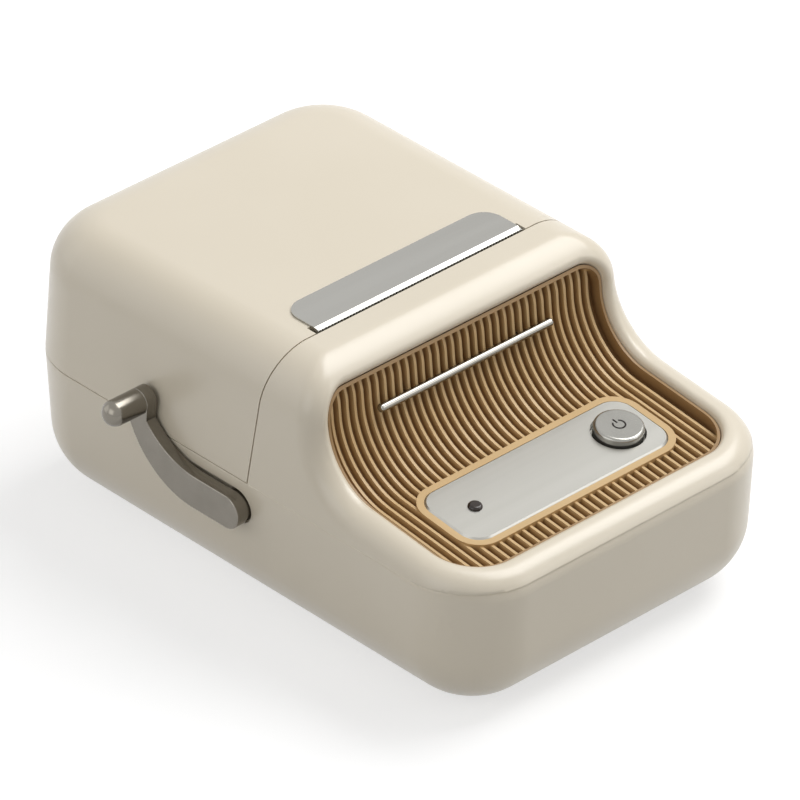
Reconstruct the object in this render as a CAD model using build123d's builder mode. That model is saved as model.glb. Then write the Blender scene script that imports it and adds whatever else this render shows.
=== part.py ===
from build123d import *
import os
from math import acos, atan, cos, degrees, pi, radians, sin, sqrt, tan

os.makedirs("parts", exist_ok=True)

# Desktop label printer, in millimetres. X runs across the body with the lever on
# the -X side, -Y is the front, +Z is up, and the origin is the middle of the flat
# underside. The rubber feet stand out below it.

# Body
body_length = 132.0
body_width = 86.0
body_height = 60.0
parting_height = 30.4
front_corner_radius = 16.5
rear_corner_radius = 17.5
base_edge_radius = 14.6
top_edge_radius = 11.5
base_inset = 1.45
top_inset = 2.1
wall = 2.0
gap = 0.3

# Side line of the front casing, from the shoulder down to the lip
shoulder_radius = 10.2
shoulder_y = -11.1
shoulder_start_angle = 10.0
steep_angle = 85.0
hollow_radius = 13.1
lip_slope = 6.8
slope_height = 35.7
slope_y = -40.0
bead_radius = 5.2
bead_inner_radius = 1.5
casing_skin = 4.2

# Seam between the front casing and the rear cover
seam_top_y = -7.75
seam_foot_y = -4.0

# Opening in the front casing for the ribbed panel
opening_half_width = 36.6
opening_top_height = 55.7
opening_front_y = -59.4
opening_top_corner = 5.5
opening_front_corner = 10.0
opening_tilt = 32.0

# Ribbed panel
panel_fit = 0.12
panel_rim_width = 0.6
panel_rim_depth = 1.3
panel_floor_depth = 4.0
panel_thickness = 1.6
rib_count = 35
rib_pitch = 2.0
rib_foot_width = 1.1
rib_crest_width = 0.6
rib_height = 1.15

# Control plate in its raised bezel
plate_half_width = 27.1
plate_length = 17.2
plate_y = -42.95
plate_corner = 4.5
plate_thickness = 1.2
plate_depth = 2.1
bezel_width = 1.5
bezel_depth = 2.35
control_offset = 19.2
button_radius = 5.1
button_proud = 1.8
button_gap = 0.5
button_travel = 0.8
flange_radius = 6.6
flange_thickness = 0.8
lens_radius = 1.5

# Plain trim bar on the panel
trim_length = 46.0
trim_turn = -12.0
trim_radius = 0.9
trim_post_radius = 0.42
trim_stand_off = 2.2
trim_post_ribs = 7.5

# Roll bay with its two guides, geared to move together
bay_radius = 25.4
bay_wall = 1.6
bay_half_width = 30.0
bay_y = 34.6
bay_height = 34.0
bay_rim_height = 31.6
bay_post_x = 24.0
bay_post_reach = 17.6
bay_post_height = 7.0
guide_thickness = 1.6
guide_radius = 15.0
guide_window = 7.0
guide_rest_x = 27.0
guide_travel = 12.0
guide_stem = 6.0
rack_module = 0.6
rack_height = 2.6
rack_thickness = 2.0
rack_width = 2.6
guide_pinion_teeth = 16
guide_post_radius = 1.4

# Print line
platen_y = -2.3
platen_height = 50.0
platen_radius = 5.0
platen_half_length = 27.0
shaft_radius = 2.0
bush_radius = 3.0
running_clearance = 0.04
cheek_inner_x = 29.2
cheek_thickness = 2.2
cheek_radius = 4.0
liner_height = 55.6
liner_half_width = 32.0
liner_rear_y = 16.0
liner_front_y = -4.2
sheet = 1.6
head_low = 43.0
head_high = 55.0
head_board = 1.0
head_block = 2.9
head_shaft_y = -11.0
head_shaft_height = 42.5
head_shaft_radius = 1.2
head_lug_radius = 2.4
bracket_x = 29.8
bulkhead_offset = 1.0
bulkhead_foot = 31.0
cross_bar_y = -15.2

# Gears
gear_module = 0.5
pressure_angle = 20.0
addendum = 0.8
dedendum = 1.1
backlash = 0.12
centre_clearance = 0.05
platen_teeth = 20
small_wheel_teeth = 14
large_wheel_teeth = 36
pinion_teeth = 14
reduction_angle = 253.74
motor_angle = 217.8
gear_x = 32.0
gear_width = 2.6
wheel_width = 1.8
axle_radius = 1.0
motor_radius = 6.0
motor_length = 17.0
motor_shaft_radius = 0.75

# Lever and latch
pivot_y = -0.8
pivot_height = 24.0
latch_shaft_radius = 2.5
bearing_clearance = 0.06
lever_inner_x = -43.5
lever_thickness = 2.6
lever_end_radius = 3.7
hub_radius = 3.5
lever_edge = 0.25
knob_reach = 24.9
knob_rise = 13.6
knob_radius = 2.7
knob_length = 8.4
knob_tip_radius = 2.5
recess_radius = 3.9
recess_length = 16.0
recess_depth = 1.2
catch_y = 0.0
catch_height = 34.0
catch_radius = 1.0
shaft_end_x = 38.4
spring_length = 4.8
hook_inner_x = 27.1
hook_thickness = 1.6
hook_stem = 2.0
hook_space = 1.8
hook_nose = 0.35
hook_hub_radius = 4.0
bearing_radius = 4.6
bearing_inner_x = 36.5

# Hinge of the rear cover
hinge_y = 64.4
hinge_height = 31.0
hinge_radius = 2.0
hinge_pin_radius = 0.8
hinge_half = 30.0
knuckle_length = 12.0

# Tear bar
tear_half_width = 27.1
tear_rear_y = 3.25
tear_fold_y = -4.85
tear_edge_y = -7.2
tear_rise = 0.4
tear_drop = 0.9
tear_edge_thickness = 0.3
tear_seat = 1.0
tear_corner = 4.5
tear_pitch = 0.8
tooth_depth = 0.35
slot_half_width = 27.9

# Boards, cell and socket
board_height = 19.0
board_thickness = 1.6
board_half_width = 32.0
board_front_y = -56.0
board_rear_y = -24.0
board_hole_inset = 3.0
cell_half_width = 25.0
cell_low = 4.0
cell_thickness = 9.0
panel_board_depth = 10.2
panel_pocket_depth = 5.6
socket_width = 8.9
socket_height = 3.2
socket_z = 14.0
socket_rear_y = 57.2
socket_mouth_y = 64.9

# Feet and screws
foot_radius = 4.5
foot_recess = 0.8
foot_proud = 0.8
foot_x = 24.0
foot_y = 44.0
screw_radius = 1.2
case_screw_length = 10.6
case_screw_seat = 3.3
peg_radius = 1.5
peg_length = 7.0
case_head_radius = 2.3
case_head_height = 1.8
head_clearance = 0.3
board_screw_length = 4.0
board_head_radius = 2.0
board_head_height = 1.2
post_radius = 3.2

# Worked out from the sizes above
upper_rise = body_height - parting_height
upper_draft = top_inset / upper_rise
lower_draft = base_inset / parting_height
half_length = body_length / 2
shoulder_centre_z = body_height - shoulder_radius * cos(radians(shoulder_start_angle))
seam_lean = (seam_foot_y - seam_top_y) / upper_rise
seam_angle = degrees(atan(seam_lean))
slope = radians(lip_slope)
form_overlap = 10.0
steepest_normal = cos(radians(steep_angle)) * 0.95
floor_foot_depth = panel_floor_depth + panel_thickness
platen_axis = (platen_y, platen_height)
reduction_reach = gear_module * (platen_teeth + small_wheel_teeth) / 2 + centre_clearance
reduction_axis = (platen_y + reduction_reach * cos(radians(reduction_angle)),
                  platen_height + reduction_reach * sin(radians(reduction_angle)))
motor_reach = gear_module * (large_wheel_teeth + pinion_teeth) / 2 + centre_clearance
motor_axis = (reduction_axis[0] + motor_reach * cos(radians(motor_angle)),
              reduction_axis[1] + motor_reach * sin(radians(motor_angle)))
pivot = (pivot_y, pivot_height)
hinge_axis = (hinge_y, hinge_height)
catch_axis = (catch_y, catch_height)
head_axis = (head_shaft_y, head_shaft_height)
wheel_x = gear_x + gear_width + gap
head_face_y = platen_y - platen_radius - gap
rack_pitch = pi * rack_module
rack_pitch_y = rack_module * guide_pinion_teeth / 2 + centre_clearance
case_posts = [(-38.2, -55.5), (38.2, -55.5), (-38.6, -27.0), (38.6, -27.0)]
bay_posts = [(x, bay_y + y) for x in (-bay_post_x, bay_post_x)
             for y in (-bay_post_reach, bay_post_reach)]
board_posts = [(x, y) for x in (board_hole_inset - board_half_width,
                                board_half_width - board_hole_inset)
               for y in (board_front_y + board_hole_inset, board_rear_y - board_hole_inset)]
left_post = (-35.0, -10.5)
right_post = (34.5, -18.4)
bracket_foot = 27.0
charge_posts = [(-7.0, 54.8), (7.0, 54.8)]
charge_board_height = socket_z - socket_height / 2 - 1.2
feet_places = [(x, y) for x in (-foot_x, foot_x) for y in (-foot_y, foot_y)]
liner_screws = [(x, y) for x in (-27.0, 27.0) for y in (6.5, 13.0)]
panel_posts = [(x, y) for x in (-23.5, 23.5) for y in (-6.0, 6.0)]


def side_x(height, skin=0.0):
    """Half width of the body at a height, less a skin."""
    if height > parting_height:
        return body_width / 2 - (height - parting_height) * upper_draft - skin
    return body_width / 2 - (parting_height - height) * lower_draft - skin


def slope_z(y, depth=0.0):
    """Height of the lip slope at a place along the body, a depth under the crest."""
    return slope_height + (y - slope_y) * tan(slope) - depth / cos(slope)


def seam_y(height):
    """Place of the seam along the body at a height."""
    return seam_top_y + (body_height - height) * seam_lean


def outline(grow, front, rear):
    """Plan outline of the body, grown on every side."""
    with BuildSketch() as plan:
        Rectangle(body_width + 2 * grow, body_length + 2 * grow)
        fillet(plan.vertices().group_by(Axis.Y)[0], front + grow)
        fillet(plan.vertices().group_by(Axis.Y)[-1], rear + grow)
    return plan.sketch


def on_shoulder(angle, depth):
    """Place on the shoulder arc at an angle from the crest and a depth under it."""
    radius = shoulder_radius - depth
    return (shoulder_y - radius * sin(angle), shoulder_centre_z + radius * cos(angle))


def knee(depth):
    """Where the steep line and the lip slope would meet, at a depth under the crest."""
    steep = radians(steep_angle)
    foot = on_shoulder(steep, depth)
    reach = (foot[1] - slope_z(foot[0], depth)) / (sin(steep) - cos(steep) * tan(slope))
    return (foot[0] - reach * cos(steep), foot[1] - reach * sin(steep))


def side_line(depth, front_y):
    """Side line of the front casing at a depth under its crest, as connected edges."""
    first = radians(shoulder_start_angle) if depth == 0 else 0.0
    last = radians(steep_angle)
    start = on_shoulder(first, depth)
    foot = on_shoulder(last, depth)
    end = (front_y, slope_z(front_y, depth))
    with BuildLine() as line:
        ThreePointArc(start, on_shoulder((first + last) / 2, depth), foot)
        FilletPolyline(foot, knee(depth), end, radius=hollow_radius + depth)
    return line.line, start, end, first


def under_side_line(depth, bottom):
    """Region under the side line, seen from the side, back to behind the body."""
    line, start, end, first = side_line(depth, -body_length)
    run = body_length
    back = (start[0] + run * cos(first), start[1] + run * sin(first))
    with BuildSketch(Plane.YZ) as region:
        with BuildLine():
            add(line)
            Polyline(end, (end[0], bottom), (back[0], bottom), back, start)
        make_face()
    return region.sketch


def edge_of(faces):
    """Edges that only one of the given faces has."""
    seen = {}
    for face in faces:
        for edge in face.edges():
            place = edge.center()
            key = (round(place.X, 3), round(place.Y, 3), round(place.Z, 3))
            seen.setdefault(key, []).append(edge)
    return [found[0] for found in seen.values() if len(found) == 1]


def front_faces(part, steepest):
    """Faces of the sculpted front, from the shoulder to the lip."""
    def on_front(face):
        normal = face.normal_at()
        return abs(normal.X) < 0.001 and normal.Z > steepest and face.center().Y < shoulder_y
    return part.faces().filter_by(on_front)


def upper_form(skin, depth=None):
    """Upper half of the body inside a skin, with the front cut to the side line."""
    low = parting_height - form_overlap
    top = body_height - skin
    with BuildPart() as form:
        with BuildSketch(Plane.XY.offset(low)):
            add(outline(form_overlap * upper_draft - skin, front_corner_radius, rear_corner_radius))
        extrude(amount=top - low, taper=degrees(atan(upper_draft)))
        fillet(form.faces().sort_by(Axis.Z)[-1].edges(), top_edge_radius - skin)
        if depth is not None:
            extrude(under_side_line(depth, 0), amount=body_width, both=True, mode=Mode.INTERSECT)
            fillet(edge_of(front_faces(form, steepest_normal)), bead_radius - skin)
    return form.part


def lower_form(skin, depth):
    """Lower half of the body inside a skin, running on above the parting plane."""
    base = skin
    rise = parting_height + form_overlap - base
    inset = (parting_height - base) * lower_draft + skin
    with BuildPart() as form:
        with BuildSketch(Plane.XY.offset(base)):
            add(outline(-inset, front_corner_radius, rear_corner_radius))
        extrude(amount=rise, taper=-degrees(atan(lower_draft)))
        fillet(form.faces().sort_by(Axis.Z)[0].edges(), base_edge_radius - skin)
        extrude(under_side_line(depth, 0), amount=body_width, both=True, mode=Mode.INTERSECT)
        fillet(edge_of(front_faces(form, steepest_normal)), bead_radius - skin)
    return form.part


def seam_plane(offset):
    """Plane of the seam, moved towards the rear by an offset, facing the rear."""
    plane = Plane(origin=(0, seam_top_y, body_height), x_dir=(1, 0, 0),
                  z_dir=(0, cos(radians(seam_angle)), sin(radians(seam_angle))))
    return plane.offset(offset)


def slope_plane(depth):
    """Plane along the lip slope at a depth, centred on the control plate."""
    plane = Plane(origin=(0, plate_y, slope_z(plate_y)), x_dir=(1, 0, 0),
                  z_dir=(0, -sin(slope), cos(slope)))
    return plane.offset(-depth)


def opening_prism(shrink):
    """Space of the front opening, down over the slope and back under the shoulder."""
    half = opening_half_width - shrink
    front = opening_front_y + shrink
    back = shoulder_y - shoulder_radius * 1.3
    top = opening_top_height - shrink
    crest_y = shoulder_y - sqrt(shoulder_radius ** 2 - (top - shoulder_centre_z) ** 2)
    tilt = radians(opening_tilt)
    drop = shoulder_radius * 2
    with BuildPart() as prism:
        with BuildSketch(Plane.XY.offset(parting_height - form_overlap)) as floor:
            with Locations((0, (front + back) / 2)):
                Rectangle(2 * half, back - front)
            fillet(floor.vertices().group_by(Axis.Y)[0], opening_front_corner - shrink)
        extrude(amount=body_height)
        with BuildSketch(Plane(origin=(0, crest_y, top), x_dir=(-1, 0, 0),
                               z_dir=(0, cos(tilt), -sin(tilt)))) as mouth:
            with Locations((0, -drop / 2)):
                Rectangle(2 * half, drop)
            fillet(mouth.vertices().group_by(Axis.Y)[-1], opening_top_corner - shrink)
        extrude(amount=shoulder_radius * 2, both=True)
    return prism.part


def disc(plane, places, radius):
    """Circles on a plane."""
    with BuildSketch(plane) as face:
        with Locations(*places):
            Circle(radius)
    return face.sketch


def panel(plane, place, width, height, corner=0.0):
    """Rectangle on a plane, with rounded corners if a radius is given."""
    with BuildSketch(plane) as face:
        with Locations(place):
            if corner > 0:
                RectangleRounded(width, height, corner)
            else:
                Rectangle(width, height)
    return face.sketch


def polygon(plane, points):
    """Closed outline of straight edges on a plane."""
    with BuildSketch(plane) as face:
        with BuildLine():
            Polyline(*points, close=True)
        make_face()
    return face.sketch


def on_side(x):
    """Upright plane along the body at a place across it, seen from the +X side."""
    return Plane(origin=(x, 0, 0), x_dir=(0, 1, 0), z_dir=(1, 0, 0))


def from_below(height):
    """Level plane at a height, facing down."""
    return Plane(origin=(0, 0, height), x_dir=(-1, 0, 0), z_dir=(0, 0, -1))


def rod(first, last, places, radius, mode=Mode.ADD):
    """Round bars across the body between two places, into the part being built."""
    extrude(disc(on_side(first), places, radius), amount=last - first, mode=mode)


def post(places, low, high, radius, mode=Mode.ADD):
    """Round posts between two heights, into the part being built."""
    extrude(disc(Plane.XY.offset(low), places, radius), amount=high - low, mode=mode)


def block(across, along, height, mode=Mode.ADD):
    """Box between three pairs of limits, into the part being built."""
    with Locations(tuple((low + high) / 2 for low, high in (across, along, height))):
        Box(across[1] - across[0], along[1] - along[0], height[1] - height[0], mode=mode)


def drive(seat, places, length, head_radius, head_height):
    """Socket-head screws on a seat plane that faces their heads."""
    extrude(disc(seat, places, head_radius), amount=head_height)
    extrude(disc(seat, places, screw_radius), amount=-length)
    with BuildSketch(seat.offset(head_height)) as sockets:
        with Locations(*places):
            RegularPolygon(head_radius * 0.5, 6)
    extrude(sockets.sketch, amount=-head_height * 0.6, mode=Mode.SUBTRACT)


def gear_face(plane, centre, teeth, module, phase):
    """Spur gear outline with involute flanks, one tooth centred on the phase angle."""
    pitch = teeth * module / 2
    base = pitch * cos(radians(pressure_angle))
    tip = pitch + addendum * module
    root = pitch - dedendum * module
    low = max(base, root)
    half = (pi * module - backlash) / 4 / pitch
    at_pitch = tan(radians(pressure_angle)) - radians(pressure_angle)

    def flank(radius, side, inward=1.0):
        turn = acos(min(1.0, base / radius))
        angle = side * (half + at_pitch - tan(turn) + turn)
        return (radius * inward * cos(angle), radius * inward * sin(angle))

    middle = (low + tip) / 2
    foot = root / low * 0.95
    with BuildSketch() as tooth:
        with BuildLine():
            ThreePointArc(flank(low, -1), flank(middle, -1), flank(tip, -1))
            ThreePointArc(flank(tip, -1), (tip, 0), flank(tip, 1))
            ThreePointArc(flank(tip, 1), flank(middle, 1), flank(low, 1))
            Polyline(flank(low, 1), flank(low, 1, foot), flank(low, -1, foot), flank(low, -1))
        make_face()
    with BuildSketch(plane) as face:
        with Locations(centre):
            Circle(root)
            with PolarLocations(0, teeth, start_angle=phase):
                add(tooth.sketch)
    return face.sketch


def depth_band(upper, lower):
    """Region between two depths under the side line, seen from the side."""
    return under_side_line(upper, 0) - under_side_line(lower, 0)


def on_skin(edge, skin):
    """Whether an edge lies on one of the faces of a skin."""
    return all(min(face.distance_to(edge @ place) for face in skin) < 0.001
               for place in (0.1, 0.5, 0.9))


def save(builder, name):
    """Label a finished piece and write its STEP file."""
    builder.part.label = name
    export_step(builder.part, "parts/" + name + ".step")


# Front casing: ivory moulding with the sculpted opening, on four pegs in the lower shell
with BuildPart() as front_casing:
    add(upper_form(0, 0))
    skin = front_casing.faces()
    add(opening_prism(0), mode=Mode.SUBTRACT)
    fillet([edge for edge in front_casing.edges(Select.LAST) if on_skin(edge, skin)],
           bead_inner_radius)
    add(upper_form(wall, casing_skin), mode=Mode.SUBTRACT)
    split(bisect_by=Plane.XY.offset(parting_height), keep=Keep.TOP)
    split(bisect_by=seam_plane(0), keep=Keep.BOTTOM)
    post(case_posts[2:], parting_height, slope_z(case_posts[2][1], casing_skin) + gap,
         post_radius)
    add(opening_prism(0), mode=Mode.SUBTRACT)
    post(case_posts, parting_height - peg_length, parting_height + 1.0, peg_radius)
save(front_casing, "front_casing")

# Lower shell: ivory moulding with every post, bearing and opening of the base
with BuildPart() as lower_shell:
    add(lower_form(0, 0))
    add(lower_form(wall, wall), mode=Mode.SUBTRACT)
    post(case_posts, 0, parting_height, post_radius)
    post(bay_posts, 0, bay_post_height, post_radius + 0.4)
    post(board_posts, 0, board_height, post_radius - 0.6)
    post([left_post], 0, bulkhead_foot, post_radius)
    post([right_post], 0, bracket_foot, post_radius)
    post(charge_posts, 0, charge_board_height, post_radius - 1.0)
    post([(0, bay_y)], 0, rack_height + rack_thickness + 2 * gap, guide_post_radius)
    for y in (-48.0, -32.0):
        block((-22, 22), (y - sheet / 2, y + sheet / 2), (0, cell_low))
    rod(-side_x(pivot_height), -bearing_inner_x, [pivot], bearing_radius)
    rod(bearing_inner_x, side_x(pivot_height), [pivot], bearing_radius)
    with BuildSketch(on_side(-side_x(pivot_height, recess_depth))) as pad:
        with Locations((pivot_y + recess_length / 2, pivot_height)):
            SlotCenterToCenter(recess_length, 2 * recess_radius + wall)
    extrude(amount=wall)
    split(bisect_by=Plane.XY.offset(parting_height), keep=Keep.BOTTOM)
    add(lower_form(0, 0), mode=Mode.INTERSECT)
    with BuildSketch(on_side(-side_x(pivot_height, recess_depth))) as recess:
        with Locations((pivot_y + recess_length / 2, pivot_height)):
            SlotCenterToCenter(recess_length, 2 * recess_radius)
    extrude(amount=-body_width, mode=Mode.SUBTRACT)
    rod(-body_width, shaft_end_x + gap, [pivot], latch_shaft_radius + bearing_clearance,
        mode=Mode.SUBTRACT)
    post(case_posts, parting_height - peg_length - gap, parting_height,
         peg_radius + bearing_clearance, mode=Mode.SUBTRACT)
    post(bay_posts, -1, case_screw_seat, case_head_radius + head_clearance, mode=Mode.SUBTRACT)
    post(bay_posts, 0, body_height, screw_radius, mode=Mode.SUBTRACT)
    post(board_posts, board_height - board_screw_length, board_height, screw_radius,
         mode=Mode.SUBTRACT)
    post([left_post], bulkhead_foot - board_screw_length, bulkhead_foot, screw_radius,
         mode=Mode.SUBTRACT)
    post([right_post], bracket_foot - board_screw_length, bracket_foot, screw_radius,
         mode=Mode.SUBTRACT)
    post(charge_posts, charge_board_height - board_screw_length, charge_board_height,
         screw_radius, mode=Mode.SUBTRACT)
    post(feet_places, -1, foot_recess, foot_radius, mode=Mode.SUBTRACT)
    with BuildSketch(Plane(origin=(0, half_length, socket_z), x_dir=(1, 0, 0),
                           z_dir=(0, -1, 0))) as inlet:
        RectangleRounded(socket_width + 2 * gap, socket_height + 2 * gap, 1.8)
    extrude(amount=wall * 3, mode=Mode.SUBTRACT)
    block((-body_width, body_width), (hinge_y - 1.0, body_length),
          (hinge_height - (half_length - hinge_y) - gap, body_height), mode=Mode.SUBTRACT)
    rod(-hinge_half - gap, hinge_half + gap, [hinge_axis], hinge_radius + gap, mode=Mode.SUBTRACT)
    for middle in (-knuckle_length, knuckle_length):
        reach = (middle - knuckle_length / 2 + gap / 2, middle + knuckle_length / 2 - gap / 2)
        rod(reach[0], reach[1], [hinge_axis], hinge_radius)
        block(reach, (hinge_y - hinge_radius, half_length - 0.5), (hinge_height - 5, hinge_height))
    rod(-hinge_half - gap, hinge_half + gap, [hinge_axis], hinge_pin_radius, mode=Mode.SUBTRACT)
save(lower_shell, "lower_shell")

# Rear cover: ivory moulding that swings up on the hinge at the back
with BuildPart() as rear_cover:
    add(upper_form(0))
    split(bisect_by=Plane.XY.offset(parting_height + gap), keep=Keep.TOP)
    split(bisect_by=seam_plane(gap), keep=Keep.TOP)
    add(upper_form(wall), mode=Mode.SUBTRACT)
    post(liner_screws, liner_height + sheet, body_height - wall, post_radius - 0.6)
    post(liner_screws, liner_height, body_height - 1, screw_radius, mode=Mode.SUBTRACT)
    block((-slot_half_width, slot_half_width), (-15, tear_fold_y), (50, 65), mode=Mode.SUBTRACT)
    with BuildSketch(Plane.XY.offset(body_height - tear_seat)) as pocket:
        with Locations((0, (tear_rear_y - 15) / 2)):
            Rectangle(2 * tear_half_width, tear_rear_y + 15)
        fillet(pocket.vertices().group_by(Axis.Y)[-1], tear_corner)
    extrude(amount=5, mode=Mode.SUBTRACT)
    for middle in (-knuckle_length, knuckle_length):
        block((middle - knuckle_length / 2 - gap / 2, middle + knuckle_length / 2 + gap / 2),
              (hinge_y - hinge_radius - 1, body_length),
              (hinge_height - 3, hinge_height + hinge_radius + gap), mode=Mode.SUBTRACT)
    for middle in (-2 * knuckle_length, 0, 2 * knuckle_length):
        reach = (middle - knuckle_length / 2 + gap / 2, middle + knuckle_length / 2 - gap / 2)
        rod(reach[0], reach[1], [hinge_axis], hinge_radius)
        block(reach, (hinge_y - hinge_radius, half_length - 0.5), (hinge_height, hinge_height + 3))
    rod(-hinge_half - gap, hinge_half + gap, [hinge_axis], hinge_pin_radius + running_clearance, mode=Mode.SUBTRACT)
save(rear_cover, "rear_cover")

with BuildPart() as hinge_pin:
    rod(-hinge_half, hinge_half, [hinge_axis], hinge_pin_radius)
save(hinge_pin, "hinge_pin")

# Ribbed panel: one moulding of floor, ribs, rim wall and the bezel of the plate
panel_line, panel_start, panel_end, panel_first = side_line(panel_floor_depth,
                                                             opening_front_y - 5)
panel_path = Wire((Plane.YZ.location * panel_line).edges())
rib_edge = (rib_count - 1) / 2 * rib_pitch
comb_points = [(-opening_half_width, -panel_thickness), (-opening_half_width, 0)]
for rib in range(rib_count):
    rib_x = rib * rib_pitch - rib_edge
    comb_points += [(rib_x - rib_foot_width / 2, 0), (rib_x - rib_crest_width / 2, rib_height),
                    (rib_x + rib_crest_width / 2, rib_height), (rib_x + rib_foot_width / 2, 0)]
comb_points += [(opening_half_width, 0), (opening_half_width, -panel_thickness)]
with BuildPart() as panel_rim:
    add(opening_prism(panel_fit))
    add(opening_prism(panel_fit + panel_rim_width), mode=Mode.SUBTRACT)
    extrude(depth_band(panel_rim_depth, floor_foot_depth), amount=body_width, both=True,
            mode=Mode.INTERSECT)
with BuildPart() as grille:
    comb = polygon(Plane(origin=(0, panel_start[0], panel_start[1]), x_dir=(1, 0, 0),
                         z_dir=(0, -1, 0)), comb_points)
    sweep(sections=comb, path=panel_path)
    add(opening_prism(panel_fit), mode=Mode.INTERSECT)
    add(panel_rim.part)
    extrude(panel(slope_plane(bezel_depth), (0, 0), 2 * (plate_half_width + bezel_width),
                  plate_length + 2 * bezel_width, plate_corner + bezel_width),
            amount=bezel_depth - panel_pocket_depth - panel_thickness)
    extrude(panel(slope_plane(0), (0, 0), 2 * plate_half_width, plate_length, plate_corner),
            amount=-plate_depth - plate_thickness, mode=Mode.SUBTRACT)
    extrude(panel(slope_plane(0), (0, 0), 2 * plate_half_width - 1.4, plate_length - 1.4,
                  plate_corner - 0.7), amount=-panel_pocket_depth, mode=Mode.SUBTRACT)
    extrude(disc(slope_plane(0), [(control_offset, 0)], 2.5), amount=-panel_board_depth,
            mode=Mode.SUBTRACT)
    extrude(disc(slope_plane(panel_pocket_depth), panel_posts, 2.0),
            amount=panel_pocket_depth - panel_board_depth)
    extrude(disc(slope_plane(panel_board_depth), panel_posts, screw_radius),
            amount=board_screw_length - 1, mode=Mode.SUBTRACT)
save(grille, "grille")

with BuildPart() as control_plate:
    extrude(panel(slope_plane(plate_depth), (0, 0), 2 * plate_half_width - 0.1,
                  plate_length - 0.1, plate_corner), amount=-plate_thickness)
    chamfer(control_plate.faces().sort_by(Axis.Z)[-1].outer_wire().edges(), 0.35)
    extrude(disc(slope_plane(0), [(control_offset, 0)], button_radius + button_gap),
            amount=-panel_pocket_depth, mode=Mode.SUBTRACT)
    extrude(disc(slope_plane(0), [(-control_offset, 0)], lens_radius),
            amount=-panel_pocket_depth, mode=Mode.SUBTRACT)
save(control_plate, "control_plate")

with BuildPart() as indicator_lens:
    extrude(disc(slope_plane(plate_depth - 0.7), [(-control_offset, 0)], lens_radius),
            amount=-plate_thickness - 0.7)
    fillet(indicator_lens.faces().sort_by(Axis.Z)[-1].edges(), 0.65)
    extrude(disc(slope_plane(plate_depth + plate_thickness), [(-control_offset, 0)], 2.2),
            amount=-0.6)
save(indicator_lens, "indicator_lens")

with BuildPart() as power_button:
    button_top = plate_depth - button_proud
    flange_top = plate_depth + plate_thickness + gap
    extrude(disc(slope_plane(button_top), [(control_offset, 0)], button_radius),
            amount=button_top - flange_top)
    fillet(power_button.faces().sort_by(Axis.Z)[-1].edges(), 0.7)
    extrude(disc(slope_plane(flange_top), [(control_offset, 0)], flange_radius),
            amount=-flange_thickness)
    extrude(disc(slope_plane(flange_top), [(control_offset, 0)], 2.0),
            amount=flange_top - panel_pocket_depth - panel_thickness + gap)
save(power_button, "power_button")

with BuildPart() as trim_bar:
    hollow = knee(-hollow_radius)
    bar_radius = hollow_radius + panel_floor_depth - trim_stand_off
    bar_turn = radians(trim_turn)
    bar = (hollow[0] + bar_radius * cos(bar_turn), hollow[1] + bar_radius * sin(bar_turn))
    rod(-trim_length / 2, trim_length / 2, [bar], trim_radius)
    fillet(trim_bar.faces().sort_by(Axis.X)[0].edges(), trim_radius * 0.6)
    fillet(trim_bar.faces().sort_by(Axis.X)[-1].edges(), trim_radius * 0.6)
    for x in (-trim_post_ribs * rib_pitch, trim_post_ribs * rib_pitch):
        with BuildSketch(Plane(origin=(x, bar[0], bar[1]), x_dir=(1, 0, 0),
                               z_dir=(0, cos(bar_turn), sin(bar_turn)))):
            Circle(trim_post_radius)
        extrude(amount=trim_stand_off)
save(trim_bar, "trim_bar")

# Tear bar: bright plate with a row of teeth over the label slot
with BuildPart() as tear_bar:
    seat = body_height - tear_seat
    top = body_height + tear_rise
    edge_top = top - tear_drop
    bar_side = polygon(on_side(-tear_half_width),
                       [(tear_rear_y, seat), (tear_rear_y, top), (tear_fold_y, top),
                        (tear_edge_y, edge_top), (tear_edge_y, edge_top - tear_edge_thickness),
                        (tear_fold_y, seat)])
    extrude(bar_side, amount=2 * tear_half_width)
    fillet(tear_bar.edges().filter_by(Axis.Z).group_by(Axis.Y)[-1], tear_corner)
    tooth_count = int(2 * tear_half_width / tear_pitch) - 1
    notch_half = tear_pitch * 0.4
    notch = polygon(Plane.XY, [(-notch_half, tear_edge_y - 0.1), (notch_half, tear_edge_y - 0.1),
                               (0, tear_edge_y + tooth_depth)])
    with BuildSketch(Plane.XY.offset(seat - 1)):
        with GridLocations(tear_pitch, 1, tooth_count, 1):
            add(notch)
    extrude(amount=3, mode=Mode.SUBTRACT)
save(tear_bar, "tear_bar")

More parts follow.
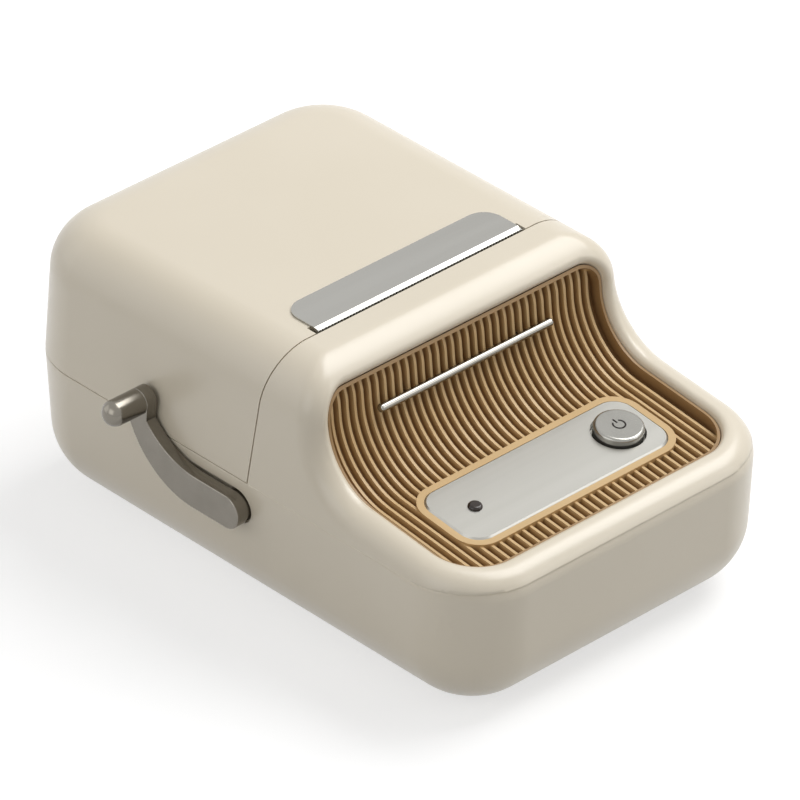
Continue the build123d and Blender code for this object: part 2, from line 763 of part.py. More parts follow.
# Bulkhead: black moulding behind the panel that carries the print head and the motor
with BuildPart() as bulkhead:
    with BuildSketch(seam_plane(-bulkhead_offset)):
        with Locations((0, body_height / 2)):
            Rectangle(body_width, body_height + 10)
    extrude(amount=-sheet)
    split(bisect_by=Plane.XY.offset(bulkhead_foot), keep=Keep.TOP)
    add(upper_form(wall + gap, casing_skin + gap), mode=Mode.INTERSECT)
    block((-28.2, 28.2), (-20, 0), (40.5, body_height), mode=Mode.SUBTRACT)
    block((31.7, body_width), (-20, 0), (0, 52.4), mode=Mode.SUBTRACT)
    head_ear = [(-6.8, 38), (-8.8, 54), (-12.4, 54), (-14.2, 52), (cross_bar_y, 50)]
    left_side = polygon(on_side(-bracket_x), head_ear + [(cross_bar_y, 45), (-13.5, 38)])
    extrude(left_side, amount=-sheet)
    motor_ear = [(cross_bar_y, 46), (-17.0, 41.5), (-19.5, 37.5), (-21.2, 34.5),
                 (-21.2, bracket_foot), (-9, bracket_foot), (-9, bulkhead_foot)]
    right_side = polygon(on_side(bracket_x), [(-5.9, bulkhead_foot)] + head_ear + motor_ear)
    extrude(right_side, amount=sheet)
    rod(bracket_x, bracket_x + sheet, [reduction_axis], 2.6)
    block((bracket_x, bracket_x + sheet), (-7.5, reduction_axis[0]),
          (reduction_axis[1] - 2.6, reduction_axis[1] + 2.4))
    block((-bracket_x, bracket_x), (cross_bar_y, cross_bar_y + 1.2), (46, 50))
    block((-38, -31), (-13.3, -6.0), (bulkhead_foot, bulkhead_foot + sheet))
    block((bracket_x, 37.5), (-21.2, -12.5), (bracket_foot, bracket_foot + sheet))
    rod(-body_width, body_width, [head_axis], head_shaft_radius, mode=Mode.SUBTRACT)
    rod(0, body_width, [reduction_axis], axle_radius, mode=Mode.SUBTRACT)
    rod(0, body_width, [motor_axis], 2 * motor_shaft_radius, mode=Mode.SUBTRACT)
    post([left_post], 0, bulkhead_foot + sheet, screw_radius, mode=Mode.SUBTRACT)
    post([right_post], 0, bracket_foot + sheet, screw_radius, mode=Mode.SUBTRACT)
save(bulkhead, "bulkhead")

# Print head: ceramic heater board on an aluminium block that tilts on a shaft
with BuildPart() as print_head:
    block((-platen_half_length, platen_half_length), (head_face_y - head_board, head_face_y),
          (head_low, head_high))
save(print_head, "print_head")

with BuildPart() as heat_sink:
    sink_y = head_face_y - head_board
    block((-platen_half_length, platen_half_length), (sink_y - head_block, sink_y),
          (head_low, head_high))
    for height in (45.0, 47.5, 50.0, 52.5):
        block((-20, 20), (sink_y - head_block, sink_y - head_block / 2), (height, height + 1.2),
              mode=Mode.SUBTRACT)
    for side in (-1, 1):
        rod(side * 24, side * platen_half_length, [head_axis], head_lug_radius)
    block((-body_width, body_width), (sink_y, 0), (0, body_height), mode=Mode.SUBTRACT)
    rod(-body_width, body_width, [head_axis], head_shaft_radius + running_clearance,
        mode=Mode.SUBTRACT)
save(heat_sink, "heat_sink")

with BuildPart() as head_shaft:
    rod(-bracket_x - sheet, bracket_x + sheet, [head_axis], head_shaft_radius)
save(head_shaft, "head_shaft")

with BuildPart() as head_springs:
    for x in (-23.5, 23.5):
        with BuildSketch(Plane(origin=(x, cross_bar_y + 1.2, 48), x_dir=(1, 0, 0),
                               z_dir=(0, 1, 0))):
            Circle(1.8)
            Circle(1.3, mode=Mode.SUBTRACT)
        extrude(amount=1.7)
save(head_springs, "head_springs")

with BuildPart() as label_sensor:
    extrude(panel(seam_plane(-bulkhead_offset), (-5, 22), 8, 4), amount=1.4)
    extrude(panel(seam_plane(1.4 - bulkhead_offset), (-5, 22), 4, 2), amount=0.4)
save(label_sensor, "label_sensor")

# Lid liner: black moulding screwed under the cover, with the cheeks of the platen
with BuildPart() as lid_liner:
    block((-liner_half_width, liner_half_width), (liner_front_y, liner_rear_y),
          (liner_height, liner_height + sheet))
    for side in (-1, 1):
        with BuildSketch(on_side(side * cheek_inner_x)):
            with Locations(platen_axis):
                Circle(cheek_radius)
            with Locations(((liner_front_y + 3.5) / 2, (platen_height + liner_height) / 2)):
                Rectangle(3.5 - liner_front_y, liner_height - platen_height)
            with Locations((0.3, (catch_height + platen_height) / 2)):
                Rectangle(3.8, platen_height - catch_height)
            with Locations((0.3, catch_height)):
                Circle(1.9)
        extrude(amount=side * cheek_thickness)
    for x in (-14.0, 0.0, 14.0):
        block((x - sheet / 2, x + sheet / 2), (6, liner_rear_y), (liner_height - 2, liner_height))
    rod(-body_width, body_width, [platen_axis], bush_radius, mode=Mode.SUBTRACT)
    rod(-body_width, body_width, [catch_axis], catch_radius, mode=Mode.SUBTRACT)
    post(liner_screws, liner_height, liner_height + sheet, screw_radius, mode=Mode.SUBTRACT)
save(lid_liner, "lid_liner")

with BuildPart() as lid_screws:
    drive(from_below(liner_height), liner_screws, body_height - 1 - liner_height,
          board_head_radius, board_head_height)
save(lid_screws, "lid_screws")

with BuildPart() as lid_catches:
    for side in (-1, 1):
        rod(side * (hook_inner_x - 0.1), side * (cheek_inner_x + cheek_thickness), [catch_axis],
            catch_radius)
save(lid_catches, "lid_catches")

# Platen: rubber roller on a steel shaft, running in two bushes
with BuildPart() as platen_bushes:
    for side in (-1, 1):
        inner = side * cheek_inner_x
        rod(inner, inner + side * cheek_thickness, [platen_axis], bush_radius)
        rod(inner - side * 0.5, inner, [platen_axis], bush_radius + 0.6)
    rod(-body_width, body_width, [platen_axis], shaft_radius + running_clearance,
        mode=Mode.SUBTRACT)
save(platen_bushes, "platen_bushes")

with BuildPart() as platen_shaft:
    rod(-cheek_inner_x - cheek_thickness - 2.0, gear_x + gear_width, [platen_axis], shaft_radius)
save(platen_shaft, "platen_shaft")

with BuildPart() as platen_rubber:
    rod(-platen_half_length, platen_half_length, [platen_axis], platen_radius)
    rod(-body_width, body_width, [platen_axis], shaft_radius, mode=Mode.SUBTRACT)
save(platen_rubber, "platen_rubber")

with BuildPart() as platen_clip:
    clip_x = -cheek_inner_x - cheek_thickness - gap
    rod(clip_x - 0.6, clip_x, [platen_axis], shaft_radius + 1.3)
    rod(clip_x - 1, clip_x + 1, [platen_axis], shaft_radius, mode=Mode.SUBTRACT)
save(platen_clip, "platen_clip")

# Gear train from the motor through a stepped wheel to the platen
with BuildPart() as platen_gear:
    extrude(gear_face(on_side(gear_x), platen_axis, platen_teeth, gear_module,
                      reduction_angle), amount=gear_width)
    rod(0, body_width, [platen_axis], shaft_radius, mode=Mode.SUBTRACT)
save(platen_gear, "platen_gear")

with BuildPart() as reduction_gear:
    extrude(gear_face(on_side(gear_x), reduction_axis, small_wheel_teeth, gear_module,
                      reduction_angle + 180 + 180 / small_wheel_teeth), amount=gear_width)
    rod(gear_x + gear_width, wheel_x, [reduction_axis], 2.6)
    extrude(gear_face(on_side(wheel_x), reduction_axis, large_wheel_teeth, gear_module,
                      motor_angle), amount=wheel_width)
    rod(0, body_width, [reduction_axis], axle_radius + running_clearance, mode=Mode.SUBTRACT)
save(reduction_gear, "reduction_gear")

with BuildPart() as gear_axle:
    rod(bracket_x, wheel_x + wheel_width + 1.0, [reduction_axis], axle_radius)
save(gear_axle, "gear_axle")

with BuildPart() as axle_clip:
    clip_x = wheel_x + wheel_width + gap
    rod(clip_x, clip_x + 0.5, [reduction_axis], axle_radius + 1.0)
    rod(clip_x - 1, clip_x + 1, [reduction_axis], axle_radius, mode=Mode.SUBTRACT)
save(axle_clip, "axle_clip")

with BuildPart() as motor_body:
    rod(bracket_x - motor_length, bracket_x, [motor_axis], motor_radius)
    fillet(motor_body.faces().sort_by(Axis.X)[0].edges(), 0.8)
    rod(bracket_x - motor_length - 1.2, bracket_x - motor_length, [motor_axis], 2.5)
    rod(bracket_x - 3, body_width, [motor_axis], motor_shaft_radius + running_clearance,
        mode=Mode.SUBTRACT)
save(motor_body, "motor_body")

with BuildPart() as motor_shaft:
    rod(bracket_x - 3 + gap, wheel_x + wheel_width, [motor_axis], motor_shaft_radius)
save(motor_shaft, "motor_shaft")

with BuildPart() as motor_pinion:
    extrude(gear_face(on_side(wheel_x), motor_axis, pinion_teeth, gear_module,
                      motor_angle + 180 + 180 / pinion_teeth), amount=wheel_width)
    rod(0, body_width, [motor_axis], motor_shaft_radius, mode=Mode.SUBTRACT)
save(motor_pinion, "motor_pinion")

def lever_outline():
    """Side outline of the lever round its pivot, with the knob at the far end."""
    end = lever_end_radius
    heel = (9.0, -end)
    back = (knob_reach + knob_radius, knob_rise)
    front = (knob_reach - knob_radius, knob_rise)
    back_foot = (knob_reach + 2.7, knob_rise - 5.1)
    front_foot = (knob_reach - 2.3, knob_rise - 3.6)
    toe = (8.5, end)
    with BuildSketch() as face:
        with BuildLine():
            Line((0, -end), heel)
            ThreePointArc(heel, (knob_reach - 3.5, knob_rise - 13.2), back_foot)
            Line(back_foot, back)
            ThreePointArc(back, (knob_reach, knob_rise + knob_radius), front)
            Line(front, front_foot)
            ThreePointArc(front_foot, (knob_reach - 7.7, knob_rise - 7.8), toe)
            Line(toe, (0, end))
            ThreePointArc((0, end), (-end, 0), (0, -end))
        make_face()
    return face.sketch


# Release lever on the left side, with the shaft and hooks of the lid latch
with BuildPart() as lever_arm:
    with BuildSketch(on_side(lever_inner_x)) as blade:
        with Locations(pivot):
            add(lever_outline())
    extrude(amount=-lever_thickness)
    fillet(lever_arm.faces().sort_by(Axis.X)[0].edges(), lever_edge)
    rod(lever_inner_x, -side_x(pivot_height, recess_depth) - gap, [pivot], hub_radius)
    rod(lever_inner_x, 0, [pivot], latch_shaft_radius, mode=Mode.SUBTRACT)
save(lever_arm, "lever_arm")

with BuildPart() as lever_knob:
    knob_x = lever_inner_x - lever_thickness
    rod(knob_x, knob_x - knob_length, [(pivot_y + knob_reach, pivot_height + knob_rise)],
        knob_radius)
    fillet(lever_knob.faces().sort_by(Axis.X)[0].edges(), knob_tip_radius)
save(lever_knob, "lever_knob")

with BuildPart() as latch_shaft:
    rod(lever_inner_x, shaft_end_x, [pivot], latch_shaft_radius)
save(latch_shaft, "latch_shaft")

with BuildPart() as latch_hooks:
    inner_y = catch_y + hook_space
    outer_y = inner_y + hook_stem
    nose_y = inner_y - hook_nose
    nose_low = catch_height + catch_radius + gap
    for side in (-1, 1):
        hook = polygon(on_side(side * hook_inner_x), [
            (pivot_y - hook_hub_radius, pivot_height), (pivot_y + hook_hub_radius, pivot_height),
            (outer_y, catch_height - 5), (outer_y, nose_low + 1.8), (nose_y, nose_low + 1.8),
            (nose_y, nose_low + hook_nose), (inner_y, nose_low), (inner_y, catch_height - 3.5),
            (pivot_y - hook_hub_radius, pivot_height + 3.0)])
        extrude(hook, amount=side * hook_thickness)
        rod(side * hook_inner_x, side * (hook_inner_x + hook_thickness), [pivot],
            hook_hub_radius)
    rod(-body_width, body_width, [pivot], latch_shaft_radius, mode=Mode.SUBTRACT)
save(latch_hooks, "latch_hooks")

with BuildPart() as lever_spring:
    spring_x = -bearing_inner_x + gap
    rod(spring_x, spring_x + spring_length, [pivot], latch_shaft_radius + 1.0)
    rod(spring_x, spring_x + spring_length, [pivot], latch_shaft_radius + 0.4,
        mode=Mode.SUBTRACT)
save(lever_spring, "lever_spring")

# Roll bay: open half drum for the label roll, on four posts of the lower shell
with BuildPart() as roll_bay:
    outer_x = bay_half_width + bay_wall
    rod(-outer_x, outer_x, [(bay_y, bay_height)], bay_radius + bay_wall)
    split(bisect_by=Plane.XY.offset(bay_rim_height), keep=Keep.BOTTOM)
    post(bay_posts, bay_post_height, bay_height - 12, post_radius)
    rod(-bay_half_width, bay_half_width, [(bay_y, bay_height)], bay_radius, mode=Mode.SUBTRACT)
    for side in (-1, 1):
        slot = [side * (guide_rest_x - guide_travel - guide_thickness / 2 - gap),
                side * (guide_rest_x + guide_thickness / 2 + gap)]
        block((min(slot), max(slot)),
              (bay_y - guide_stem / 2 - gap, bay_y + guide_stem / 2 + gap), (0, bay_height - 12),
              mode=Mode.SUBTRACT)
    post(bay_posts, 0, case_screw_seat + case_screw_length, screw_radius, mode=Mode.SUBTRACT)
save(roll_bay, "roll_bay")

with BuildPart() as guide_right:
    face_x = guide_rest_x - guide_thickness / 2
    with BuildSketch(on_side(face_x)):
        with Locations((bay_y, bay_height)):
            Circle(guide_radius)
            Circle(guide_window, mode=Mode.SUBTRACT)
        with Locations((bay_y, (bay_height + rack_height) / 2 - guide_radius / 2)):
            Rectangle(guide_stem, bay_height - rack_height - guide_radius - 3)
    extrude(amount=guide_thickness)
    stem_low = rack_height + rack_thickness + gap
    block((face_x, face_x + guide_thickness), (bay_y - guide_stem / 2, bay_y + guide_stem / 2),
          (stem_low, bay_height - guide_radius + 1))
    rack_line = bay_y + rack_pitch_y
    rack_foot = rack_line + dedendum * rack_module
    block((face_x, face_x + guide_thickness), (bay_y, rack_foot + rack_width),
          (stem_low, stem_low + sheet))
    block((-3, face_x + guide_thickness), (rack_foot, rack_foot + rack_width),
          (rack_height, rack_height + rack_thickness))
    block((face_x, face_x + guide_thickness), (rack_foot, rack_foot + rack_width),
          (rack_height, stem_low + sheet))
    half_tooth = (rack_pitch - backlash) / 4
    lean = tan(radians(pressure_angle)) * rack_module
    foot_y = dedendum * rack_module
    tip_y = -addendum * rack_module
    tooth = polygon(Plane.XY, [(-half_tooth - lean * dedendum, foot_y),
                               (-half_tooth + lean * addendum, tip_y),
                               (half_tooth - lean * addendum, tip_y),
                               (half_tooth + lean * dedendum, foot_y)])
    with BuildSketch(Plane.XY.offset(rack_height)):
        with Locations(*[((step - 0.5) * rack_pitch, rack_line) for step in range(10)]):
            add(tooth)
    extrude(amount=rack_thickness)
save(guide_right, "guide_right")

with BuildPart() as guide_left:
    add(guide_right.part.rotate(Axis((0, bay_y, 0), (0, 0, 1)), 180))
save(guide_left, "guide_left")

with BuildPart() as guide_pinion:
    extrude(gear_face(Plane.XY.offset(rack_height), (0, bay_y), guide_pinion_teeth, rack_module,
                      90), amount=rack_thickness)
    post([(0, bay_y)], 0, body_height, guide_post_radius + running_clearance,
         mode=Mode.SUBTRACT)
save(guide_pinion, "guide_pinion")

# Electronics
with BuildPart() as main_board:
    block((-board_half_width, board_half_width), (board_front_y, board_rear_y),
          (board_height, board_height + board_thickness))
    fillet(main_board.edges().filter_by(Axis.Z), 2.0)
    post(board_posts, 0, body_height, screw_radius, mode=Mode.SUBTRACT)
save(main_board, "main_board")

with BuildPart() as board_chips:
    top = board_height + board_thickness
    block((-14, -4), (-46, -36), (top, top + 1.4))
    block((4, 11), (-42, -37), (top, top + 1.2))
    block((-6, 8), (-30, -26), (top, top + 3.2))
    block((12, 19), (-52, -46), (top, top + 1.6))
save(board_chips, "board_chips")

with BuildPart() as battery_pack:
    block((-cell_half_width, cell_half_width), (-54, -26), (cell_low, cell_low + cell_thickness))
    fillet(battery_pack.edges().filter_by(Axis.X), 2.5)
save(battery_pack, "battery_pack")

with BuildPart() as panel_board:
    extrude(panel(slope_plane(panel_board_depth), (0, 0), 53, 16.4, 1.5), amount=-1.0)
    extrude(disc(slope_plane(0), panel_posts, screw_radius), amount=-20, mode=Mode.SUBTRACT)
save(panel_board, "panel_board")

with BuildPart() as button_switch:
    extrude(panel(slope_plane(panel_board_depth - 1.6), (control_offset, 0), 6, 6, 0.5),
            amount=-1.6)
    extrude(disc(slope_plane(panel_board_depth - 2.0), [(control_offset, 0)], 1.6), amount=-0.4)
save(button_switch, "button_switch")

with BuildPart() as indicator_led:
    extrude(panel(slope_plane(panel_board_depth - 1.0), (-control_offset, 0), 3, 1.8),
            amount=-1.0)
save(indicator_led, "indicator_led")

with BuildPart() as charge_board:
    block((-9.5, 9.5), (52.6, 61.2), (charge_board_height, socket_z - socket_height / 2))
    post(charge_posts, 0, body_height, screw_radius, mode=Mode.SUBTRACT)
save(charge_board, "charge_board")

with BuildPart() as usb_socket:
    rear = Plane(origin=(0, socket_rear_y, socket_z), x_dir=(-1, 0, 0), z_dir=(0, 1, 0))
    extrude(panel(rear, (0, 0), socket_width, socket_height, 1.3),
            amount=socket_mouth_y - socket_rear_y)
    extrude(panel(rear.offset(1.2), (0, 0), socket_width - 0.6, socket_height - 0.6, 1.1),
            amount=20, mode=Mode.SUBTRACT)
    extrude(panel(rear, (0, 0), 6.6, 0.7), amount=socket_mouth_y - socket_rear_y - 0.5)
save(usb_socket, "usb_socket")

# Feet and screws
with BuildPart() as rubber_feet:
    post(feet_places, -foot_proud, foot_recess, foot_radius)
    fillet(rubber_feet.faces().filter_by(Plane.XY).group_by(Axis.Z)[0].edges(), 0.4)
save(rubber_feet, "rubber_feet")

with BuildPart() as case_screws:
    drive(from_below(case_screw_seat), bay_posts, case_screw_length, case_head_radius,
          case_head_height)
save(case_screws, "case_screws")

with BuildPart() as board_screws:
    drive(Plane.XY.offset(board_height + board_thickness), board_posts, board_screw_length,
          board_head_radius, board_head_height)
    drive(Plane.XY.offset(bulkhead_foot + sheet), [left_post], board_screw_length,
          board_head_radius, board_head_height)
    drive(Plane.XY.offset(bracket_foot + sheet), [right_post], board_screw_length,
          board_head_radius, board_head_height)
    drive(Plane.XY.offset(socket_z - socket_height / 2), charge_posts, board_screw_length,
          board_head_radius, board_head_height)
    under = slope_plane(panel_board_depth + 1.0)
    drive(Plane(origin=under.origin, x_dir=(-1, 0, 0), z_dir=-under.z_dir), panel_posts,
          board_screw_length, board_head_radius, board_head_height)
save(board_screws, "board_screws")
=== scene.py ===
from math import cos, radians, sin, tan

import bmesh
import bpy
from mathutils import Matrix, Vector


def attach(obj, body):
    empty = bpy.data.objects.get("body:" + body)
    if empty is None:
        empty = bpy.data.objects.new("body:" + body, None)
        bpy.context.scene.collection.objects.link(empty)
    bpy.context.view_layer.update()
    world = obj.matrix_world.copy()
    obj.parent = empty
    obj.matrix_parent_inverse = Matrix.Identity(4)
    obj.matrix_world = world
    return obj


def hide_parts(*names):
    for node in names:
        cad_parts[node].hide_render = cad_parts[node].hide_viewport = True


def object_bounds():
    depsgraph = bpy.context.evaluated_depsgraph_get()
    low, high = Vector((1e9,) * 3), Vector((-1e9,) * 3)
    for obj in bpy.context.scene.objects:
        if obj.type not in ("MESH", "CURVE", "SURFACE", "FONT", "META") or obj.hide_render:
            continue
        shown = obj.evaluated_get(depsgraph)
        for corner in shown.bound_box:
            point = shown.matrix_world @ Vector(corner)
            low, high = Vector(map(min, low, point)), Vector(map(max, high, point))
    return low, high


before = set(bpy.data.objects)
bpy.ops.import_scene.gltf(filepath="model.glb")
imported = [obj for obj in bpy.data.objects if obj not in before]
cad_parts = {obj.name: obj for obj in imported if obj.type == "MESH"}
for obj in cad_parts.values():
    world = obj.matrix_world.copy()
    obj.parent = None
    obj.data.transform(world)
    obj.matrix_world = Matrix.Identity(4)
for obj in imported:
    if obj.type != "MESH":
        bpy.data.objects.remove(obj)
cad_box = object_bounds()

# Ivory casing. Three glossy mouldings: the base, the sculpted front and the cover that
# swings up over the roll. Their edges are softened by the mould, and the colour is a
# warm cream with a faint mottle and the fine ripple of a polished tool.


def finish_nodes(name):
    """A new material with its shader and the object's own coordinates."""
    finish = bpy.data.materials.new(name)
    finish.use_nodes = True
    shader = finish.node_tree.nodes["Principled BSDF"]
    place = finish.node_tree.nodes.new("ShaderNodeTexCoord")
    return finish, finish.node_tree, shader, place.outputs["Object"]


def speckle(tree, place, scale, detail=2.0, stretch=None):
    """Noise at a scale in cycles per metre, drawn out along an axis if stretch is given."""
    noise = tree.nodes.new("ShaderNodeTexNoise")
    noise.inputs["Scale"].default_value = scale
    noise.inputs["Detail"].default_value = detail
    if stretch is None:
        tree.links.new(place, noise.inputs["Vector"])
    else:
        along = tree.nodes.new("ShaderNodeMapping")
        along.inputs["Scale"].default_value = stretch
        tree.links.new(place, along.inputs["Vector"])
        tree.links.new(along.outputs["Vector"], noise.inputs["Vector"])
    return noise.outputs["Fac"]


def spread(tree, value, socket, low, high):
    """Turns a noise value into a range of roughness, or of colour, on a shader's socket."""
    if isinstance(low, float):
        ramp = tree.nodes.new("ShaderNodeMapRange")
        ramp.inputs["To Min"].default_value = low
        ramp.inputs["To Max"].default_value = high
        tree.links.new(value, ramp.inputs["Value"])
        tree.links.new(ramp.outputs["Result"], socket)
    else:
        ramp = tree.nodes.new("ShaderNodeValToRGB")
        ramp.color_ramp.elements[0].position = 0.35
        ramp.color_ramp.elements[1].position = 0.65
        ramp.color_ramp.elements[0].color = (*low, 1)
        ramp.color_ramp.elements[1].color = (*high, 1)
        tree.links.new(value, ramp.inputs["Fac"])
        tree.links.new(ramp.outputs["Color"], socket)


def relief(tree, value, shader, height, strength=1.0):
    """Bump of a real height in metres on a shader."""
    bump = tree.nodes.new("ShaderNodeBump")
    bump.inputs["Distance"].default_value = height
    bump.inputs["Strength"].default_value = strength
    tree.links.new(value, bump.inputs["Height"])
    tree.links.new(bump.outputs["Normal"], shader.inputs["Normal"])


def ivory_plastic():
    finish, tree, shader, place = finish_nodes("ivory_plastic")
    spread(tree, speckle(tree, place, 26), shader.inputs["Base Color"],
           (0.742, 0.668, 0.536), (0.760, 0.686, 0.556))
    spread(tree, speckle(tree, place, 60), shader.inputs["Roughness"], 0.30, 0.36)
    relief(tree, speckle(tree, place, 420), shader, 0.00002, 0.25)
    shader.inputs["Coat Weight"].default_value = 0.25
    shader.inputs["Coat Roughness"].default_value = 0.22
    return finish


def eased(shape, height, side, ease):
    """Breaks the outer edge of a parting face at a height, on its upper or lower side."""
    touching = 0.000002
    cut = height + side * ease
    everything = shape.verts[:] + shape.edges[:] + shape.faces[:]
    bmesh.ops.bisect_plane(shape, geom=everything, dist=0.0000005, plane_co=(0, 0, cut),
                           plane_no=(0, 0, 1))
    for corner in shape.verts:
        if abs(corner.co.z - height) < touching:
            outward = Vector((0, 0, 0))
            for face in corner.link_faces:
                if abs(face.normal.z) < 0.5:
                    outward += face.normal
            outward.z = 0
            if outward.length > 0.1 and outward.dot(corner.co) > 0:
                corner.co -= outward.normalized() * ease


def softened(node, body, finish, sharp=28, parting=None):
    """A merged copy of a node in its finish, smooth up to an angle and crisp past it."""
    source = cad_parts[node]
    mesh = bpy.data.meshes.new(node + "_mesh")
    shape = bmesh.new()
    shape.from_mesh(source.data)
    bmesh.ops.remove_doubles(shape, verts=shape.verts, dist=0.000002)
    if parting:
        eased(shape, *parting)
    for face in shape.faces:
        face.smooth = True
        face.material_index = 0
    for line in shape.edges:
        line.smooth = len(line.link_faces) == 2 and line.calc_face_angle(0) < radians(sharp)
    shape.to_mesh(mesh)
    shape.free()
    mesh.materials.append(finish)
    piece = bpy.data.objects.new(node + "_shown", mesh)
    bpy.context.scene.collection.objects.link(piece)
    evening = piece.modifiers.new("evening", "WEIGHTED_NORMAL")
    evening.keep_sharp = True
    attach(piece, body)
    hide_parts(node)
    return piece


ivory = ivory_plastic()
parting_height = 0.0304
parting_ease = 0.00014
base_shell = softened("lower_shell", "base", ivory, parting=(parting_height, -1, parting_ease))
front_shell = softened("front_casing", "base", ivory, parting=(parting_height, 1, parting_ease))
softened("rear_cover", "lid", ivory)

# Ribbed panel. A tan moulding in the opening: upright ribs that run from the top, down the
# hollow and out over the slope, inside a rim wall, with the bezel of the plate. The grooves
# between the ribs and the rim wall are painted a dark brown as shade.


def tan_plastic():
    finish, tree, shader, place = finish_nodes("tan_plastic")
    # Painted shade: a per-corner value, 0 on the rib crests and up to 1 down in the grooves,
    # mixes the tan towards a dark brown painted shade colour.
    hollow = tree.nodes.new("ShaderNodeAttribute")
    hollow.attribute_name = "painted_groove_shade"
    shade = tree.nodes.new("ShaderNodeMix")
    shade.data_type = "RGBA"
    crest_color, painted_shade_color, mixed_color = shade.inputs[6], shade.inputs[7], shade.outputs[2]
    tree.links.new(hollow.outputs["Fac"], shade.inputs["Factor"])
    spread(tree, speckle(tree, place, 40), crest_color,
           (0.600, 0.410, 0.195), (0.640, 0.445, 0.220))
    spread(tree, speckle(tree, place, 40), painted_shade_color,
           (0.235, 0.128, 0.048), (0.265, 0.148, 0.058))
    tree.links.new(mixed_color, shader.inputs["Base Color"])
    spread(tree, speckle(tree, place, 90), shader.inputs["Roughness"], 0.42, 0.50)
    relief(tree, speckle(tree, place, 700), shader, 0.00002, 0.3)
    return finish


lip_slope = radians(6.8)
lip_y, lip_height = -0.040, 0.0357
hollow_middle, hollow_radius = Vector((-0.03455, 0.0495)), 0.0131
shoulder_middle, shoulder_radius = Vector((-0.0111, 0.04995)), 0.0102
shoulder_foot, hollow_foot = 0.0491, -0.0330
# Depths that place the painted shade: corners shallower than wall_depth (the rim) get
# wall_shade, and deeper corners darken from crest_depth over groove_depth.
wall_depth, wall_shade = 0.0016, 0.75
crest_depth, groove_depth = 0.0029, 0.001


def depth_under_front(spot):
    """Depth of a spot under the sculpted front: the lip slope, the hollow or the shoulder."""
    beside = Vector((spot.y, spot.z))
    if spot.z > shoulder_foot:
        return shoulder_radius - (beside - shoulder_middle).length
    if spot.y > hollow_foot:
        return (beside - hollow_middle).length - hollow_radius
    return (lip_height + (spot.y - lip_y) * tan(lip_slope) - spot.z) * cos(lip_slope)


tan_finish = tan_plastic()
panel = softened("grille", "base", tan_finish, sharp=24)
# Painted shade for each corner, from its depth under the front: darker down in the grooves and
# on the rim wall.
painted_groove_shade = panel.data.attributes.new("painted_groove_shade", "FLOAT", "POINT")
for corner in panel.data.vertices:
    depth = depth_under_front(corner.co)
    shade = min(1.0, max(0.0, (depth - crest_depth) / groove_depth))
    painted_groove_shade.data[corner.index].value = wall_shade if depth < wall_depth else shade

# Control plate. A silver pressing let into the bezel, with a turned edge that catches
# the light. The aluminium has a fine brushed grain that runs across it.


def brushed_silver():
    finish, tree, shader, place = finish_nodes("brushed_silver")
    spread(tree, speckle(tree, place, 300, 3, (0.02, 1, 1)), shader.inputs["Base Color"],
           (0.420, 0.412, 0.380), (0.440, 0.432, 0.400))
    spread(tree, speckle(tree, place, 500, 2, (0.02, 1, 1)), shader.inputs["Roughness"],
           0.30, 0.36)
    shader.inputs["Metallic"].default_value = 0.9
    return finish


silver = brushed_silver()
softened("control_plate", "base", silver)

# Power button. A satin plated cap with a round rim, standing proud of the plate in a
# dark ring of clearance. The usual ring-and-bar symbol is printed on it in black.


def satin_cap():
    finish, tree, shader, place = finish_nodes("satin_cap")
    spread(tree, speckle(tree, place, 120), shader.inputs["Base Color"],
           (0.335, 0.328, 0.302), (0.355, 0.348, 0.322))
    spread(tree, speckle(tree, place, 200), shader.inputs["Roughness"], 0.22, 0.28)
    shader.inputs["Metallic"].default_value = 0.9
    return finish


def printed_black():
    finish, tree, shader, place = finish_nodes("printed_black")
    spread(tree, speckle(tree, place, 900), shader.inputs["Base Color"],
           (0.012, 0.010, 0.008), (0.018, 0.015, 0.012))
    shader.inputs["Roughness"].default_value = 0.5
    shader.inputs["Specular IOR Level"].default_value = 0.15
    return finish


cap_finish = satin_cap()
softened("power_button", "button", cap_finish)

slope_over_button = Vector((0.0192, -0.04295, 0.035348))
cap_depth, ring_radius, line_width, proud = 0.0003, 0.00125, 0.00034, 0.00004
ring_sweep, ring_start, ring_steps = radians(290), radians(125), 36
bar_rise = 0.95
slope_normal = Vector((0, -sin(lip_slope), cos(lip_slope)))
cap_frame = (Matrix.Translation(slope_over_button - slope_normal * cap_depth)
             @ Matrix.Rotation(lip_slope, 4, "X"))
symbol_mesh = bpy.data.meshes.new("power_symbol_mesh")
symbol = bmesh.new()
section = [symbol.verts.new((ring_radius + across, 0, up))
           for across, up in ((-line_width / 2, -proud), (line_width / 2, -proud),
                              (line_width / 2, proud), (-line_width / 2, proud))]
start = symbol.faces.new(section)
bmesh.ops.rotate(symbol, verts=section, cent=(0, 0, 0),
                 matrix=Matrix.Rotation(ring_start, 3, "Z"))
bmesh.ops.spin(symbol, geom=[start] + start.edges[:] + start.verts[:], cent=(0, 0, 0),
               axis=(0, 0, 1), angle=ring_sweep, steps=ring_steps, use_merge=False)
bar = bmesh.ops.create_cube(symbol, size=1)["verts"]
bmesh.ops.scale(symbol, verts=bar, vec=(line_width, ring_radius, 2 * proud))
bmesh.ops.translate(symbol, verts=bar, vec=(0, ring_radius * bar_rise, 0))
bmesh.ops.recalc_face_normals(symbol, faces=symbol.faces)
bmesh.ops.transform(symbol, matrix=cap_frame, verts=symbol.verts)
symbol.to_mesh(symbol_mesh)
symbol.free()
symbol_mesh.materials.append(printed_black())
power_symbol = bpy.data.objects.new("power_symbol", symbol_mesh)
bpy.context.scene.collection.objects.link(power_symbol)
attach(power_symbol, "button")

# Indicator. A small domed lens of dark smoked acrylic on the other side of the plate,
# pressed in from behind, with a lamp on the board under it.


